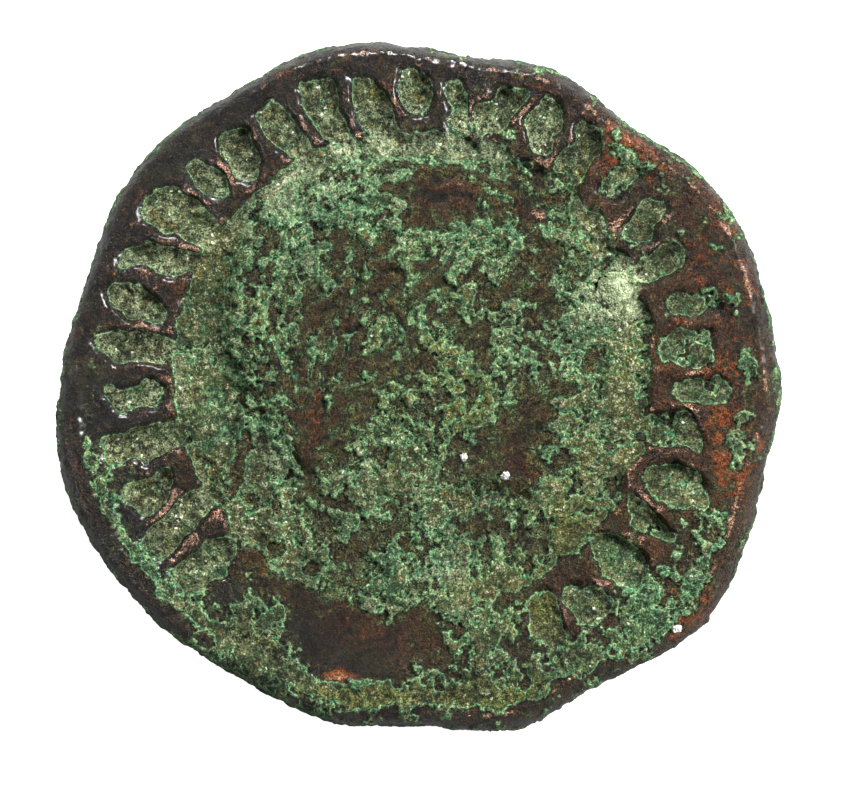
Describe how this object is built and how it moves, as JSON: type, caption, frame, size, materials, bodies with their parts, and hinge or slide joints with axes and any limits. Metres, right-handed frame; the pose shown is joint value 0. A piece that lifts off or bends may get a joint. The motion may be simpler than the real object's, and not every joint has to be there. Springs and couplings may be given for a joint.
{
  "type": "ancient coin",
  "caption": "Round struck bronze coin, corroded green and brown, with a laureate profile head in a worn border of pits, and a wreath on the back.",
  "frame": {"origin": "under the middle of the outline's box, on the plane that the reverse rim rests on", "axes": "+Z out of the obverse (portrait side), +X towards the way the head faces, +Y towards the top of the head"},
  "size_m": [0.0328, 0.0312, 0.0039],
  "materials": {
    "patinated_bronze": "corroded bronze: sage-green and turquoise crust in the low parts, bare brown metal on the high ones",
    "pale_crust": "matt pale yellow-green mineral crust",
    "lime": "matt white lime grain"
  },
  "bodies": {
    "root": {"coin_flan": "patinated_bronze", "green_crust_lump": "pale_crust", "lime_grain_1": "lime", "lime_grain_2": "lime", "lime_grain_3": "lime", "lime_grain_4": "lime"}
  },
  "joints": []
}
